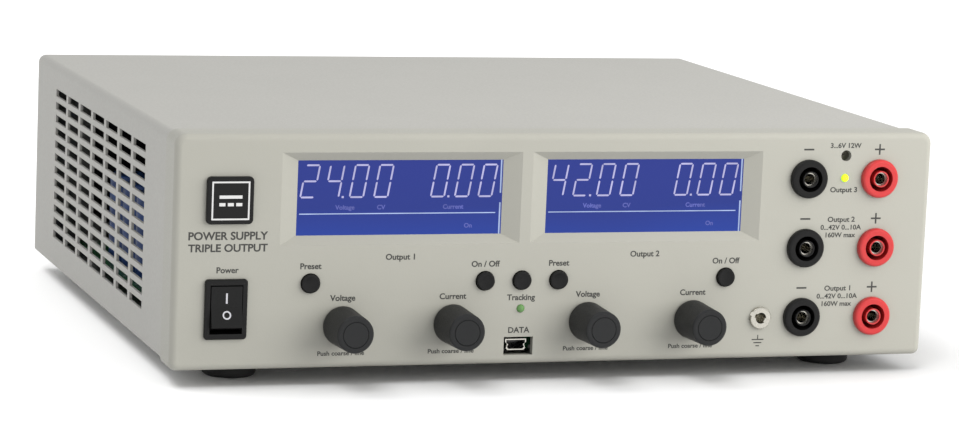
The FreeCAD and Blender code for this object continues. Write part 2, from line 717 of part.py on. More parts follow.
def socket_contact(x, z):
    """A metal sleeve in the post, with a solder pin behind."""
    front = -SOCKET_PROUD + CONTACT_SET_BACK
    sleeve = rod(x, z, CONTACT_RADIUS, front, SOCKET_DEPTH)
    pin = rod(x, z, 1.4, SOCKET_DEPTH, SOCKET_DEPTH + 7)
    bore = rod(x, z, CONTACT_BORE_RADIUS, front - 1, front + CONTACT_BORE_DEPTH)
    return without(sleeve.fuse(pin), [bore])


def earth_socket():
    """A bare metal socket with a slotted flange and a threaded body."""
    flange = rod(EARTH_X, EARTH_Z, EARTH_RADIUS, -EARTH_PROUD, 0)
    flange = flange.makeFillet(0.5, front_edges(flange, -EARTH_PROUD))
    body = flange.fuse(rod(EARTH_X, EARTH_Z, EARTH_THREAD_RADIUS, 0, 17))
    bore = rod(EARTH_X, EARTH_Z, CONTACT_BORE_RADIUS, -EARTH_PROUD - 1,
               -EARTH_PROUD + EARTH_BORE_DEPTH)
    slot = centred_box(EARTH_X, EARTH_Z, (2 * EARTH_RADIUS + 1, 1.5), -EARTH_PROUD - 1,
                       -EARTH_PROUD + 1.1)
    slot.rotate(vec(EARTH_X, 0, EARTH_Z), vec(0, 1, 0), EARTH_SLOT_ANGLE)
    return without(body.removeSplitter(), [bore, slot])


def socket_nuts():
    nuts = []
    for x in SOCKET_X:
        for z in SOCKET_Z:
            nut = hexagon(x, z, NUT_ACROSS, FACE_THICKNESS, FACE_THICKNESS + NUT_THICKNESS)
            nuts.append(nut.cut(rod(x, z, SOCKET_BODY_RADIUS, 0, 10)))
    earth = hexagon(EARTH_X, EARTH_Z, 10.0, FACE_THICKNESS, FACE_THICKNESS + NUT_THICKNESS)
    nuts.append(earth.cut(rod(EARTH_X, EARTH_Z, EARTH_THREAD_RADIUS, 0, 10)))
    return nuts


# Inside

def board_supports():
    return [(x, d) for x in SUPPORT_X for d in SUPPORT_D]


def main_board():
    x0, x1, d0, d1 = MAIN_BOARD
    board = box(x0, x1, d0, d1, MAIN_BOARD_Z, MAIN_BOARD_Z + BOARD_THICKNESS)
    return without(board, [post(x, d, BOARD_SCREW_RADIUS, 0, 20) for x, d in board_supports()])


def board_screws():
    """Small pan head screws that hold the main board on its supports."""
    top = MAIN_BOARD_Z + BOARD_THICKNESS
    screws = []
    for x, d in board_supports():
        shank = post(x, d, BOARD_SCREW_RADIUS, FLOOR_TOP, top)
        screws.append(shank.fuse(post(x, d, 2 * BOARD_SCREW_RADIUS, top, top + 1.6)))
    return group(screws)


def heatsink():
    """The right-hand heat sink: an upright plate with level fins towards the vents."""
    d0, d1 = HEATSINK_D
    foot_z = MAIN_BOARD_Z + BOARD_THICKNESS
    fins_x = HEATSINK_X + HEATSINK_PLATE
    parts = [box(HEATSINK_X, fins_x, d0, d1, foot_z, HEATSINK_TOP)]
    for i in range(HEATSINK_FINS):
        z = foot_z + 2 + HEATSINK_PITCH * i
        parts.append(box(fins_x, HEATSINK_X + HEATSINK_REACH, d0, d1, z, z + 1.6))
    return union(parts)


def transformer(x, d):
    """A ferrite core with a wound bobbin between its legs."""
    foot_z = MAIN_BOARD_Z + BOARD_THICKNESS
    core = box(x - 20, x + 20, d - 9, d + 9, foot_z + 3, foot_z + 39)
    window = box(x - 13, x + 13, d - 10, d + 10, foot_z + 9, foot_z + 33)
    winding = post(x, d, 12.6, foot_z + 9, foot_z + 33)
    feet = box(x - 16, x + 16, d - 12, d + 12, foot_z, foot_z + 3)
    return union([core.cut(window), winding, feet])


def capacitor(side, d):
    foot_z = MAIN_BOARD_Z + BOARD_THICKNESS
    can = post(side * CAPACITOR_X, d, CAPACITOR_RADIUS, foot_z, foot_z + CAPACITOR_HEIGHT)
    upper = [e for e in can.Edges if e.BoundBox.ZMin > foot_z + CAPACITOR_HEIGHT - 0.1]
    return can.makeFillet(1.0, upper)


def filter_choke():
    """A ring core choke that lies on the main board near the mains inlet."""
    foot_z = MAIN_BOARD_Z + BOARD_THICKNESS
    x, d = CHOKE_PLACE
    centre = vec(x, d, foot_z + CHOKE_TUBE_RADIUS)
    ring_core = Part.makeTorus(CHOKE_RADIUS, CHOKE_TUBE_RADIUS, centre, vec(0, 0, 1))
    base = post(x, d, CHOKE_RADIUS - 2.0, foot_z, foot_z + 3)
    return union([ring_core, base])


def wire(points, radius):
    """A tube along straight runs joined by arcs that touch both runs of each corner."""
    edges = []
    start = points[0]
    for before, here, after in zip(points, points[1:], points[2:]):
        back, on = before - here, after - here
        reach = 0.45 * min(back.Length, on.Length)
        back.normalize()
        on.normalize()
        half = (back.getAngle(on)) / 2
        bend_radius = reach * math.tan(half)
        bisector = back + on
        bisector.normalize()
        first, last = here + back * reach, here + on * reach
        middle = here + bisector * (bend_radius / math.sin(half) - bend_radius)
        edges.append(Part.makeLine(start, first))
        edges.append(Part.Arc(first, middle, last).toShape())
        start = last
    edges.append(Part.makeLine(start, points[-1]))
    path = Part.Wire(edges)
    section = Part.Wire([Part.makeCircle(radius, points[0], points[1] - points[0])])
    return path.makePipeShell([section], True, True)


def mains_wires():
    """Two wires that run from the inlet's tabs to the switch's tabs, beside the board."""
    wires = []
    for side, (dx, dz) in zip((-1, 1), ((-3.2, -6.0), (3.2, 0.0))):
        tab = vec(SWITCH_X + dx, SWITCH_DEPTH + 9, SWITCH_Z + dz)
        pin = vec(INLET_X + side * 7.0, REAR_PANEL_BACK - INLET_DEPTH - 8, PLUG_CAVITY_Z - 2.0)
        lane_x = WIRE_LANE_X + 2.0 * side
        lane_z = 50.0 + 1.5 * side
        wires.append(wire([
            tab, tab + vec(0, 14, 0), vec(lane_x - 4, 60, lane_z - 6),
            vec(lane_x, 95, lane_z), vec(lane_x + 1.5, 135, lane_z + 1),
            vec(lane_x, 170, lane_z - 6), pin + vec(0, -16, 0), pin], WIRE_RADIUS))
    return wires


# Rear

def fan_corners():
    half = FAN_HOLE_SPACING / 2
    return [(FAN_X + i * half, FAN_Z + k * half) for i in (-1, 1) for k in (-1, 1)]


def fan_housing():
    """A square frame with a round duct; four struts carry the motor's bearing tube."""
    back = REAR_PANEL_FRONT
    front = back - FAN_DEPTH
    frame = rounded_block(FAN_X, FAN_Z, (FAN_SIZE, FAN_SIZE), (3.0, 3.0), front, back)
    frame = frame.cut(rod(FAN_X, FAN_Z, FAN_DUCT_RADIUS, front - 1, back + 1))
    strut = box(-FAN_DUCT_RADIUS - 0.8, FAN_DUCT_RADIUS + 0.8, front, front + 2.5, -1.5, 1.5)
    strut.translate(vec(FAN_X, 0, FAN_Z))
    centre = vec(FAN_X, 0, FAN_Z)
    parts = [frame, rod(FAN_X, FAN_Z, FAN_HUB_RADIUS, front, front + 2.5)]
    for angle in (45, 135):
        turned = strut.copy()
        turned.rotate(centre, vec(0, 1, 0), angle)
        parts.append(turned)
    parts.append(rod(FAN_X, FAN_Z, 3.0, front, front + 12))
    holes = [rod(x, z, FAN_SCREW_RADIUS, front - 1, back + 1) for x, z in fan_corners()]
    holes.append(rod(FAN_X, FAN_Z, FAN_PIN_RADIUS + 0.04, front + 1, front + 13))
    return without(union(parts), holes)


def fan_rotor():
    """A cup shaped hub with a pin in the bearing tube and pitched blades."""
    front = REAR_PANEL_FRONT - FAN_DEPTH
    hub = rod(FAN_X, FAN_Z, FAN_HUB_RADIUS, front + 3.5, front + 17)
    hub = hub.cut(rod(FAN_X, FAN_Z, FAN_HUB_RADIUS - 1.5, front + 3, front + 15))
    pin = rod(FAN_X, FAN_Z, FAN_PIN_RADIUS, front + 2, front + 16)
    parts = [hub, pin]
    middle = front + 10.2
    for i in range(FAN_BLADES):
        blade = Part.makeBox(FAN_BLADE_RADIUS - FAN_HUB_RADIUS + 1, FAN_BLADE_CHORD,
                             FAN_BLADE_THICKNESS,
                             vec(FAN_HUB_RADIUS - 1, -FAN_BLADE_CHORD / 2, -FAN_BLADE_THICKNESS / 2))
        blade.rotate(vec(0, 0, 0), vec(1, 0, 0), FAN_BLADE_PITCH)
        blade.rotate(vec(0, 0, 0), vec(0, 1, 0), 360.0 * i / FAN_BLADES)
        blade.translate(vec(FAN_X, middle, FAN_Z))
        parts.append(blade)
    sweep = rod(FAN_X, FAN_Z, FAN_BLADE_RADIUS, front + 3.5, front + 17.5)
    return union(parts).common(sweep)


def fan_guard():
    """Wire rings on four diagonal wires, with an eye at each corner screw."""
    d = REAR_PANEL_BACK + FAN_WIRE_RADIUS + 0.1
    outer_d = d + 1.6
    parts = []
    for radius in FAN_GUARD_RINGS:
        parts.append(Part.makeTorus(radius, FAN_WIRE_RADIUS, vec(FAN_X, outer_d, FAN_Z),
                                    vec(0, 1, 0)))
    for x, z in fan_corners():
        eye = ring(x, z, 4.0, 2.1, REAR_PANEL_BACK, REAR_PANEL_BACK + FAN_EYE)
        parts.append(eye)
        run = vec(x - FAN_X, 0, z - FAN_Z)
        inner = run * (5.0 / run.Length)
        reach = run.Length - 3.7 - 5.0
        parts.append(Part.makeCylinder(FAN_WIRE_RADIUS, reach,
                                       vec(FAN_X + inner.x, d, FAN_Z + inner.z), run))
    return union(parts)


def fan_screws():
    screws = []
    for x, z in fan_corners():
        head_d = REAR_PANEL_BACK + FAN_EYE
        head = rod(x, z, 3.4, head_d, head_d + 2.0)
        head = head.cut(centred_box(x, z, (5.0, 0.9), head_d + 1.1, head_d + 3))
        shank = rod(x, z, FAN_SCREW_RADIUS, REAR_PANEL_FRONT - 8, head_d)
        screws.append(shank.fuse(head))
    return screws


def mains_inlet():
    """A plug inlet with bevelled upper corners in its cavity, and a fuse bay above it."""
    back = REAR_PANEL_BACK + INLET_PROUD
    flange = rounded_block(INLET_X, INLET_Z, INLET_FLANGE, (2.0, 2.0), REAR_PANEL_BACK, back)
    body = centred_box(INLET_X, INLET_Z, INLET_BODY, REAR_PANEL_BACK - INLET_DEPTH, back)
    half_w, half_h = PLUG_CAVITY[0] / 2, PLUG_CAVITY[1] / 2
    bevel = PLUG_BEVEL
    x, z = INLET_X, PLUG_CAVITY_Z
    outline = [(x - half_w, z - half_h), (x + half_w, z - half_h),
               (x + half_w, z + half_h - bevel), (x + half_w - bevel, z + half_h),
               (x - half_w + bevel, z + half_h), (x - half_w, z + half_h - bevel)]
    points = [vec(px, back + 1, pz) for px, pz in outline + outline[:1]]
    cavity = Part.Face(Part.makePolygon(points)).extrude(vec(0, -PLUG_CAVITY_DEPTH - 1, 0))
    bay = [side + 2 * DRAWER_GAP for side in DRAWER_SIZE]
    drawer_bay = centred_box(INLET_X, DRAWER_Z, bay, back - DRAWER_DEPTH - 0.5, back + 1)
    return without(flange.fuse(body).removeSplitter(), [cavity, drawer_bay] + inlet_pins())


def inlet_pins():
    """Three flat pins in the plug cavity, each with a tab behind the inlet."""
    pins = []
    for dx, dz in ((-7.0, -2.0), (7.0, -2.0), (0.0, 2.0)):
        x, z = INLET_X + dx, PLUG_CAVITY_Z + dz
        pins.append(centred_box(x, z, (2.0, 4.0), REAR_PANEL_BACK - INLET_DEPTH - 8,
                                REAR_PANEL_BACK - 1.5))
    return pins


def fuse_drawer():
    """A pull-out fuse holder with a finger groove in its front."""
    back = REAR_PANEL_BACK + INLET_PROUD
    drawer = centred_box(INLET_X, DRAWER_Z, DRAWER_SIZE, back - DRAWER_DEPTH, back + 0.8)
    groove = centred_box(INLET_X, DRAWER_Z + 2.2, (9.0, 2.4), back - 0.4, back + 2)
    tray = centred_box(INLET_X, DRAWER_Z + 2.0, (18.0, 7.0), back - DRAWER_DEPTH - 1, back - 2.5)
    return without(drawer, [groove, tray])


def main():
    os.makedirs("parts", exist_ok=True)
    save("front_bezel", front_bezel())
    save("top_cover", top_cover())
    save("chassis_base", chassis_base())
    save("rear_panel", rear_panel())
    save("case_screws", group(cover_screws() + fan_screws()))
    save("rubber_feet", rubber_feet())
    save("foot_screws", foot_screws())
    save("badge_plate", badge_plate())
    save("badge_emblem", badge_emblem())
    save("switch_housing", switch_housing())
    save("power_rocker", power_rocker())
    save("switch_terminals", group(terminal_tabs()))
    save("display_glasses", group([display_glass(x) for x in DISPLAY_X]))
    save("display_backlights", group([display_backlight(x) for x in DISPLAY_X]))
    save("front_board", front_board())
    save("encoder_housings", group([encoder_housing(x) for x in KNOB_X]))
    for i, x in enumerate(KNOB_X, start=1):
        save("encoder_rotor_%d" % i, encoder_rotor(x))
        save("encoder_shaft_%d" % i, encoder_shaft(x))
        save("knob_%d" % i, knob(x))
        save("knob_cap_%d" % i, knob_cap(x))
    for name, x in zip(BUTTON_NAMES, BUTTON_X):
        save("button_" + name, push_button(x))
    save("tact_switches", group([tact_switch(x) for x in BUTTON_X]))
    save("tracking_led", led(TRACKING_LED))
    save("output_led", led(OUTPUT_LED))
    save("trimmer_body", trimmer_body())
    save("trimmer_rotor", trimmer_rotor())
    save("data_port", data_port())
    for name, x in zip(("sockets_negative", "sockets_positive"), SOCKET_X):
        save(name, group([safety_socket(x, z) for z in SOCKET_Z]))
    save("socket_contacts", group([socket_contact(x, z) for x in SOCKET_X for z in SOCKET_Z]))
    save("earth_socket", earth_socket())
    save("panel_nuts", group(socket_nuts() + [encoder_nut(x) for x in KNOB_X]))
    save("main_board", main_board())
    save("board_screws", board_screws())
    save("heat_sinks", group([heatsink(), mirrored(heatsink())]))
    windings = [transformer(x, d) for x, d in TRANSFORMER_PLACES]
    save("wound_parts", group(windings + [filter_choke()]))
    save("capacitors", group([capacitor(s, d) for s in (-1, 1) for d in CAPACITOR_D]))
    save("mains_wires", group(mains_wires()))
    save("fan_housing", fan_housing())
    save("fan_rotor", fan_rotor())
    save("fan_guard", fan_guard())
    save("mains_inlet", mains_inlet())
    save("inlet_pins", group(inlet_pins()))
    save("fuse_drawer", fuse_drawer())


main()
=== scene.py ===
import json
import math
from collections import namedtuple

import bmesh
import bpy
from mathutils import Matrix, Vector


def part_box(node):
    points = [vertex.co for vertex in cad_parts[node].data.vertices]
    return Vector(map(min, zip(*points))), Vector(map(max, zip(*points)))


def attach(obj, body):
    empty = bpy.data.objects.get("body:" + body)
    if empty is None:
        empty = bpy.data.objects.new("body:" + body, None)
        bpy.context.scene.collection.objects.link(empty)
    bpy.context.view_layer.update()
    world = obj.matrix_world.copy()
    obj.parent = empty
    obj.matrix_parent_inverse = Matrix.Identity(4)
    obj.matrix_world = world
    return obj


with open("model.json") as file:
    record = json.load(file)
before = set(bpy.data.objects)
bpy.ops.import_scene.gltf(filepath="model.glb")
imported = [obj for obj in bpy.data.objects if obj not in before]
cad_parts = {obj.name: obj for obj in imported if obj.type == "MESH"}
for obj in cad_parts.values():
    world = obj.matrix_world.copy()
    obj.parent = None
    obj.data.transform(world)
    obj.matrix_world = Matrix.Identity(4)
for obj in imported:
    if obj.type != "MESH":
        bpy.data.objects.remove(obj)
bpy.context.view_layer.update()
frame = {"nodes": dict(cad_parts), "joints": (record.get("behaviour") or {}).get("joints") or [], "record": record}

MM = 0.001
NODES = frame["nodes"]
CASE = "case"
PANEL_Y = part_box("front_bezel")[0].y

# Sizes and places are in metres. A shift is along X, a rise is up and a drop is down, and each is
# measured from the middle of the piece that the print belongs to, unless a comment says otherwise.

# Ink is a thin plate of its own, just clear of the surface behind it
INK_THICKNESS = 0.03 * MM
INK_LIFT = 0.002 * MM

# Lettering: the share of the font's size that a capital takes, how much thicker the strokes are made
# as a share of the capital, the usual widening, and the heights of capitals
CAP_SHARE = 0.729
STROKE_SWELL = 0.034
USUAL_WIDENING = 1.03
NAME_CAP = 2.1 * MM
OUTPUT_CAP = 1.9 * MM
RATING_CAP = 1.8 * MM
NOTE_CAP = 1.6 * MM

# The two lines under the badge: text, drop and capital
TITLES = (("POWER SUPPLY", 12.3 * MM, 2.8 * MM), ("TRIPLE OUTPUT", 16.5 * MM, 2.7 * MM))
TITLE_WIDTH = 28.0 * MM

# Names of the controls and displays
SWITCH_NAME_SHIFT = 0.4 * MM
SWITCH_NAME_RISE = 13.6 * MM
BUTTON_NAMES = (("preset_1", "Preset"), ("output_1", "On / Off"), ("preset_2", "Preset"),
                ("output_2", "On / Off"))
BUTTON_NAME_RISE = 6.1 * MM
KNOB_NAMES = ("Voltage", "Current", "Voltage", "Current")
KNOB_NAME_RISE = 9.8 * MM
KNOB_NOTE_DROP = 9.7 * MM
KNOB_NOTE_WIDTH = 16.9 * MM
LAMP_NAME_RISE = 4.1 * MM
PORT_NAME_RISE = 5.8 * MM
OUTPUT_NAMES = ("Output 1", "Output 2")
DISPLAY_NAME_DROP = 20.4 * MM

# Print beside the sockets, where a rise is from the middle of a row of sockets
SIGN_SIZE = 3.9 * MM
SIGN_STROKE = 0.6 * MM
SIGN_RISE = 10.6 * MM
MINUS_SHIFT = -0.3 * MM
PLUS_SHIFT = -0.2 * MM
OUTPUT_NAME_RISE = 10.4 * MM
OUTPUT_WIDENING = 1.1
RATING_RISE = 7.5 * MM
RATING_WIDTH = 16.0 * MM
WATTS_RISE = 4.7 * MM
WATTS_WIDENING = 1.08

# Print of the third output, under its lamp and over its trimmer's hole
THIRD_NAME_SHIFT = -0.2 * MM
THIRD_NAME_DROP = 4.2 * MM
THIRD_RATING_SHIFT = -0.3 * MM
THIRD_RATING_RISE = 3.8 * MM
THIRD_RATING_WIDENING = 1.07

# The earth sign under its socket
EARTH_SHIFT = -0.3 * MM
EARTH_STEM_WIDTH = 0.35 * MM
EARTH_STEM_HEIGHT = 1.5 * MM
EARTH_STEM_DROP = 7.1 * MM
EARTH_BAR_WIDTHS = (4.6 * MM, 3.1 * MM, 1.4 * MM)
EARTH_BAR_HEIGHT = 0.4 * MM
EARTH_BAR_DROP = 8.05 * MM
EARTH_BAR_STEP = 1.15 * MM

# Rear print, over and beside the mains inlet and over the air outlet. Rises, drops and shifts are from
# the inlet's upper corner, and the outlet's middle is set in from the rear panel's edge at low X.
INLET_NAME_CAP = 3.0 * MM
REAR_NAME_CAP = 2.4 * MM
REAR_NAME_RISE = 4.5 * MM
FUSE_NAME_SHIFT = 9.0 * MM
FUSE_NAME_DROP = 14.0 * MM
OUTLET_INSET = 104 * MM

# Displays: the visible window of each glass and how far the glass goes on behind the bezel
WINDOW_WIDTH = 74.4 * MM
GLASS_HIDDEN = 2.0 * MM

# Digits and decimal points, placed from the window's upper left corner in reading order
DIGIT_WIDTH = 5.5 * MM
DIGIT_HEIGHT = 11.8 * MM
DIGIT_STROKE = 0.62 * MM
DIGIT_SLANT = math.tan(math.radians(9.5))
SEGMENT_GAP = 0.22 * DIGIT_STROKE
DIGIT_DROP = 13.2 * MM
DIGIT_PLACES = [x * MM for x in (0.74, 9.5, 18.4, 27.2, 47.8, 56.6, 65.2)]
POINT_PLACES = [x * MM for x in (16.3, 54.6)]
POINT_WIDTH = 0.75 * MM
POINT_HEIGHT = 0.7 * MM
READINGS = ("2400000", "4200000")

# The segments that each digit lights, by their usual letters
SEGMENTS = {"0": "abcdef", "2": "abged", "4": "fgbc"}

# The line under the digits, and the bright strip at the right with its break
RULE_MIDDLE = 36.5 * MM
RULE_DROP = 18.7 * MM
RULE_WIDTH = 71.2 * MM
RULE_HEIGHT = 0.34 * MM
STRIP_MIDDLE = 73.7 * MM
STRIP_WIDTH = 0.5 * MM
STRIP_BREAK_TOP = 11.7 * MM
STRIP_BREAK_BOTTOM = 15.1 * MM

# Faint words on a display: text, and its place from the window's upper left corner
WORDS = (("Voltage", 17.2 * MM, 16.4 * MM), ("CV", 30.3 * MM, 16.4 * MM),
         ("Current", 56.5 * MM, 16.4 * MM), ("On", 62.2 * MM, 23.1 * MM))

# Rocker marks, placed from the rocker's pivot. At rest the pressed upper half of its face is upright
# and stands this far out of the panel.
ROCKER_PROUD = 1.7 * MM
STROKE_RISE = 4.0 * MM
STROKE_WIDTH = 0.6 * MM
STROKE_HEIGHT = 3.6 * MM
RING_DISTANCE = 3.7 * MM
RING_RADIUS = 1.5 * MM
RING_HOLE = 1.0 * MM

# How far the metal mouth of the data socket goes in before its colour fades to dark: the black plastic inside, and
# painted shade on the metal walls further in
PORT_RIM = 0.35 * MM

# Camera, fitted to the photo
CAMERA_PLACE = Vector((-415.6, -1252.4, 245.3)) * MM
CAMERA_AZIMUTH = math.radians(-18.63)
CAMERA_ELEVATION = math.radians(8.78)
CAMERA_ROLL = math.radians(2.43)
CAMERA_LENS = 130.76

# Floor and lights
FLOOR_REACH = 15.0
LIGHT_AIM = Vector((0, 0, 0.05))
BACKGROUND_STRENGTH = 0.97
SOFT_BOX_SIZE = 0.9
SOFT_BOX_COLOUR = (1.0, 0.985, 0.95)

Window = namedtuple("Window", "left right top bottom")


def centre(node):
    low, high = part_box(node)
    return (low + high) / 2


# Shader building blocks. Lengths inside a material are in millimetres.

# Blender's wave texture repeats after this length at a scale of 1
WAVE_PERIOD = 0.314


def new_material(name):
    material = bpy.data.materials.new(name)
    material.use_nodes = True
    nodes = material.node_tree.nodes
    nodes.clear()
    output = nodes.new("ShaderNodeOutputMaterial")
    shader = nodes.new("ShaderNodeBsdfPrincipled")
    material.node_tree.links.new(shader.outputs["BSDF"], output.inputs["Surface"])
    return material, shader


def link(material, source, target):
    material.node_tree.links.new(source, target)


def set_inputs(node, **values):
    """Sets a node's inputs by name, with _ for a space."""
    for key, value in values.items():
        node.inputs[key.replace("_", " ")].default_value = value


def add(material, kind, **values):
    """A new shader node with some of its inputs set."""
    node = material.node_tree.nodes.new("ShaderNode" + kind)
    set_inputs(node, **values)
    return node


def coordinates(material, stretch=(1, 1, 1)):
    """Object coordinates in millimetres, stretched along the axes."""
    place = add(material, "TexCoord")
    mapping = add(material, "Mapping", Scale=[s / MM for s in stretch])
    link(material, place.outputs["Object"], mapping.inputs["Vector"])
    return mapping.outputs["Vector"]


def noise(material, vector, period, detail=3.0):
    """Noise whose features are about one period apart."""
    node = add(material, "TexNoise", Scale=1.0 / period, Detail=detail)
    link(material, vector, node.inputs["Vector"])
    return node.outputs["Fac"]


def ramp(material, fac, stops):
    """A colour ramp through (position, colour) stops."""
    node = add(material, "ValToRGB")
    elements = node.color_ramp.elements
    while len(elements) < len(stops):
        elements.new(0.5)
    for element, (position, colour) in zip(elements, stops):
        element.position = position
        element.color = (*colour, 1.0)
    link(material, fac, node.inputs["Fac"])
    return node.outputs["Color"]


def map_range(material, value, **limits):
    node = add(material, "MapRange", **limits)
    link(material, value, node.inputs["Value"])
    return node.outputs["Result"]


def spread(material, fac, low, high):
    """Noise, most of which lies between 0.3 and 0.7, mapped to a range of roughness."""
    return map_range(material, fac, From_Min=0.3, From_Max=0.7, To_Min=low, To_Max=high)


def drifting(material, field, low, high):
    """A colour that follows most of a noise field from one tone to another."""
    return ramp(material, field, [(0.3, low), (0.7, high)])


def bump(material, shader, height, strength, distance):
    node = add(material, "Bump", Strength=strength, Distance=distance * MM)
    link(material, height, node.inputs["Height"])
    link(material, node.outputs["Normal"], shader.inputs["Normal"])


def shade(colour, factor):
    return tuple(min(1.0, c * factor) for c in colour)


def grey(level):
    return (level, level, level)


# Kinds of finish

def plain_finish(name, colour, roughness, grain, relief, variation=0.04, metallic=0.0,
                 stretch=(1, 1, 1), blotch=40.0, specular=0.5):
    """Colour that drifts a little over the surface, and a fine grain in roughness and relief."""
    material, shader = new_material(name)
    broad = noise(material, coordinates(material), blotch)
    tone = drifting(material, broad, shade(colour, 1 - variation), shade(colour, 1 + variation))
    link(material, tone, shader.inputs["Base Color"])
    fine = noise(material, coordinates(material, stretch), grain, detail=2.0)
    link(material, spread(material, fine, *roughness), shader.inputs["Roughness"])
    set_inputs(shader, Metallic=metallic, Specular_IOR_Level=specular)
    bump(material, shader, fine, strength=0.6, distance=relief)
    return material


def glowing(name, colour, glow, strength, period, variation):
    """A glossy lit surface whose light drifts a little."""
    material, shader = new_material(name)
    field = noise(material, coordinates(material), period, detail=1.0)
    light = drifting(material, field, shade(glow, 1 - variation), shade(glow, 1 + variation))
    link(material, light, shader.inputs["Emission Color"])
    tone = drifting(material, field, shade(colour, 0.9), colour)
    link(material, tone, shader.inputs["Base Color"])
    set_inputs(shader, Emission_Strength=strength, Roughness=0.15)
    return material


def banded(name, colour, band, period, roughness):
    """Even bands one above another, as of wound wire or a printed sleeve."""
    material, shader = new_material(name)
    wave = add(material, "TexWave", Scale=WAVE_PERIOD / period, Distortion=0.15, Detail=1.0)
    wave.bands_direction = "Z"
    link(material, coordinates(material), wave.inputs["Vector"])
    tone = ramp(material, wave.outputs["Fac"], [(0.35, band), (0.65, colour)])
    link(material, tone, shader.inputs["Base Color"])
    set_inputs(shader, Roughness=roughness)
    bump(material, shader, wave.outputs["Fac"], strength=0.5, distance=0.15)
    return material


# Finishes of single pieces

def circuit_board(name):
    """Green solder mask over a grid of tracks, with small tinned pads."""
    material, shader = new_material(name)
    vector = coordinates(material)
    tracks = add(material, "TexBrick", Scale=0.16, Mortar_Size=0.05,
                 Color1=(0.012, 0.085, 0.03, 1), Color2=(0.018, 0.12, 0.04, 1),
                 Mortar=(0.03, 0.2, 0.06, 1))
    link(material, vector, tracks.inputs["Vector"])
    pads = add(material, "TexVoronoi", Scale=0.22)
    link(material, vector, pads.inputs["Vector"])
    spots = ramp(material, pads.outputs["Distance"], [(0.16, grey(1)), (0.2, grey(0))])
    mix = add(material, "MixRGB", Color2=(0.5, 0.5, 0.48, 1))
    link(material, spots, mix.inputs["Fac"])
    link(material, tracks.outputs["Color"], mix.inputs["Color1"])
    link(material, mix.outputs["Color"], shader.inputs["Base Color"])
    set_inputs(shader, Roughness=0.35)
    bump(material, shader, tracks.outputs["Fac"], strength=0.4, distance=0.05)
    return material


def display_blue(name):
    """Blue light that is a little stronger towards the lower edge and drifts slightly."""
    low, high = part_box("display_glasses")
    material, shader = new_material(name)
    vector = coordinates(material)
    height = add(material, "SeparateXYZ")
    link(material, vector, height.inputs["Vector"])
    level = map_range(material, height.outputs["Z"], From_Min=low.z / MM, From_Max=high.z / MM)
    drift = add(material, "Math")
    drift.operation = "MULTIPLY_ADD"
    field, drift_share, base = drift.inputs
    link(material, noise(material, vector, period=45.0, detail=0.0), field)
    drift_share.default_value = 0.35
    link(material, level, base)
    light = [(0.1, (0.022, 0.072, 0.47)), (0.55, (0.024, 0.045, 0.30)), (1, (0.026, 0.048, 0.33))]
    tones = [(0, (0.004, 0.01, 0.06)), (1, (0.005, 0.008, 0.05))]
    link(material, ramp(material, drift.outputs["Value"], light), shader.inputs["Emission Color"])
    link(material, ramp(material, drift.outputs["Value"], tones), shader.inputs["Base Color"])
    set_inputs(shader, Emission_Strength=0.57, Roughness=0.22, Specular_IOR_Level=0.2)
    return material


def port_finish(name):
    """A bright metal mouth that turns dark and not metal a little way in: partly the black plastic inside, partly
    painted shade on the metal walls of the recess.
    """
    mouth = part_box("data_port")[0].y
    material, shader = new_material(name)
    vector = coordinates(material)
    depth = add(material, "SeparateXYZ")
    link(material, vector, depth.inputs["Vector"])
    inside = map_range(material, depth.outputs["Y"], From_Min=(mouth + PORT_RIM) / MM,
                       From_Max=(mouth + 2 * PORT_RIM) / MM)
    # The dark end of this ramp is painted shade in the recess, over the metal walls as well as the black plastic
    tone = ramp(material, inside, [(0, (0.62, 0.60, 0.54)), (1, (0.012, 0.011, 0.010))])
    link(material, tone, shader.inputs["Base Color"])
    metal = ramp(material, inside, [(0, grey(1)), (1, grey(0))])
    link(material, metal, shader.inputs["Metallic"])
    fine = noise(material, vector, period=0.4, detail=2.0)
    link(material, spread(material, fine, low=0.2, high=0.35), shader.inputs["Roughness"])
    bump(material, shader, fine, strength=0.4, distance=0.005)
    return material


def led_glow(name):
    """A lit lamp: yellow in the middle of its dome, greener towards its rim."""
    middle = centre("output_led")
    material, shader = new_material(name)
    place = add(material, "TexCoord")
    from_axis = add(material, "Mapping", Location=(-middle.x / MM, 0, -middle.z / MM),
                    Scale=(1 / MM, 0, 1 / MM))
    link(material, place.outputs["Object"], from_axis.inputs["Vector"])
    smaller = add(material, "VectorMath")
    smaller.operation = "SCALE"
    set_inputs(smaller, Scale=0.6)
    link(material, from_axis.outputs["Vector"], smaller.inputs[0])
    sphere = add(material, "TexGradient")
    sphere.gradient_type = "SPHERICAL"
    link(material, smaller.outputs["Vector"], sphere.inputs["Vector"])
    stops = [(0.1, (0.36, 0.72, 0.01)), (0.6, (0.78, 1.0, 0.01))]
    colour = ramp(material, sphere.outputs["Fac"], stops)
    link(material, colour, shader.inputs["Emission Color"])
    link(material, colour, shader.inputs["Base Color"])
    set_inputs(shader, Emission_Strength=0.8, Roughness=0.2)
    return material


# Finishes of the CAD nodes, by the material slot they have in the record

